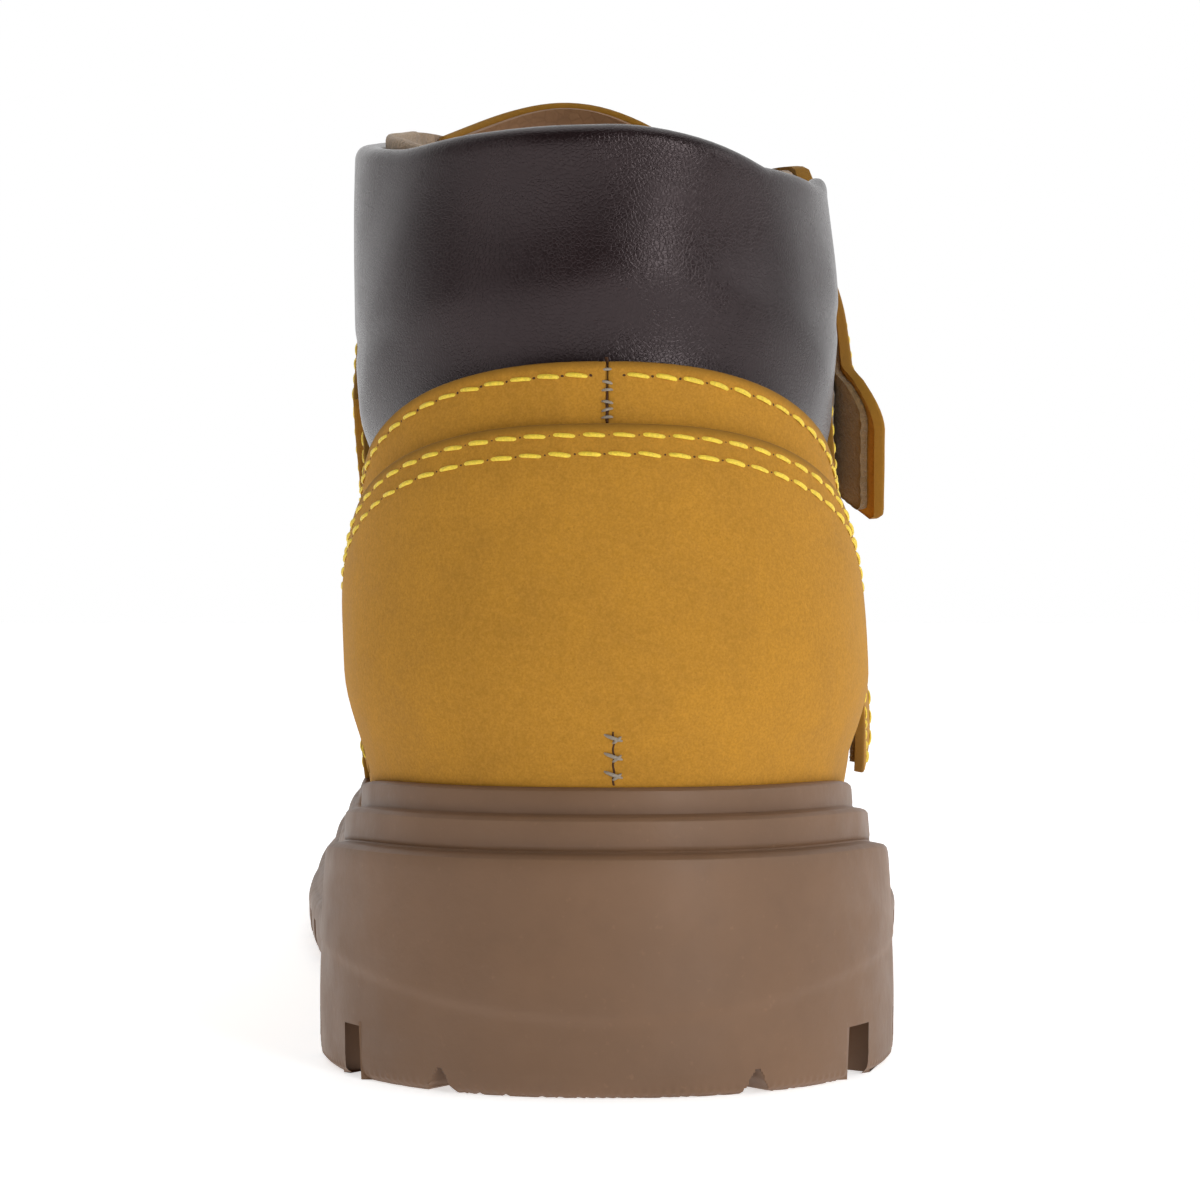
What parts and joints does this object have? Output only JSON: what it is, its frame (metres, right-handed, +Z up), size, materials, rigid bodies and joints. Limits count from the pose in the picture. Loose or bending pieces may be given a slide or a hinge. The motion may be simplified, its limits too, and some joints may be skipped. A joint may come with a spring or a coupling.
{
  "type": "work boot",
  "caption": "Mid-height safety boot with a strapped nubuck upper, padded leather collar, hidden steel toe cap and lugged rubber cup sole.",
  "frame": {"origin": "middle of the footprint box, on the ground", "axes": "+Z up, +Y towards the toe, +X towards the outer (lateral) side of this right boot"},
  "size_m": [0.1122, 0.312, 0.1442],
  "materials": {
    "nubuck": "matte wheat nubuck",
    "collar_leather": "smooth dark brown leather",
    "tongue_leather": "tan lining leather",
    "textile_lining": "fleecy beige textile",
    "padding": "open-cell foam",
    "outsole_rubber": "satin gum rubber",
    "midsole_filler": "matte foamed filler",
    "insole_board": "pressed fibre board",
    "shank_steel": "bare spring steel",
    "toe_steel": "bare pressed steel",
    "stiffener": "thermoplastic sheet",
    "edge_strip": "matte rubber strip",
    "footbed_foam": "cloth-covered foam",
    "hook_tape": "hook tape",
    "loop_tape": "loop tape"
  },
  "bodies": {
    "boot": {"outsole": "outsole_rubber", "midsole": "midsole_filler", "steel_shank": "shank_steel", "insole_board": "insole_board", "footbed": "footbed_foam", "vamp": "nubuck", "toe_cap_cover": "nubuck", "quarter_medial": "nubuck", "quarter_lateral": "nubuck", "heel_panel": "nubuck", "steel_toe_cap": "toe_steel", "toe_cap_edge_strip": "edge_strip", "vamp_lining": "textile_lining", "quarter_lining_medial": "textile_lining", "quarter_lining_lateral": "textile_lining", "heel_stiffener": "stiffener", "heel_lining": "textile_lining", "collar_cover": "collar_leather", "collar_foam": "padding", "collar_lining": "collar_leather", "strap_upper_sewn_end": "nubuck", "strap_upper_loop_tape": "loop_tape", "strap_middle_sewn_end": "nubuck", "strap_middle_loop_tape": "loop_tape", "strap_lower_sewn_end": "nubuck", "strap_lower_loop_tape": "loop_tape"},
    "strap_upper_body": {"strap_upper": "nubuck", "strap_upper_hook_tape": "hook_tape"},
    "strap_middle_body": {"strap_middle": "nubuck", "strap_middle_hook_tape": "hook_tape"},
    "strap_lower_body": {"strap_lower": "nubuck", "strap_lower_hook_tape": "hook_tape"},
    "tongue_body": {"tongue_face": "nubuck", "tongue_foam": "padding", "tongue_lining": "tongue_leather"}
  },
  "joints": [
    {"name": "strap_upper_hinge", "type": "hinge", "parent": "boot", "child": "strap_upper_body", "pos_m": [-0.03479, -0.05807, 0.09745], "axis": [0.0049, -0.6625, 0.7491], "range_deg": [0, 120]},
    {"name": "strap_middle_hinge", "type": "hinge", "parent": "boot", "child": "strap_middle_body", "pos_m": [-0.03645, -0.02621, 0.07428], "axis": [0.1235, -0.7701, 0.6258], "range_deg": [0, 90]},
    {"name": "strap_lower_hinge", "type": "hinge", "parent": "boot", "child": "strap_lower_body", "pos_m": [-0.04267, 0.00793, 0.05369], "axis": [0.1634, -0.8643, 0.4757], "range_deg": [0, 110]},
    {"name": "tongue_hinge", "type": "hinge", "parent": "boot", "child": "tongue_body", "pos_m": [0.00203, 0.03843, 0.07456], "axis": [1, 0, 0], "range_deg": [0, 10], "stiffness_Nm_per_rad": 0.6, "springref_deg": -2.86}
  ]
}
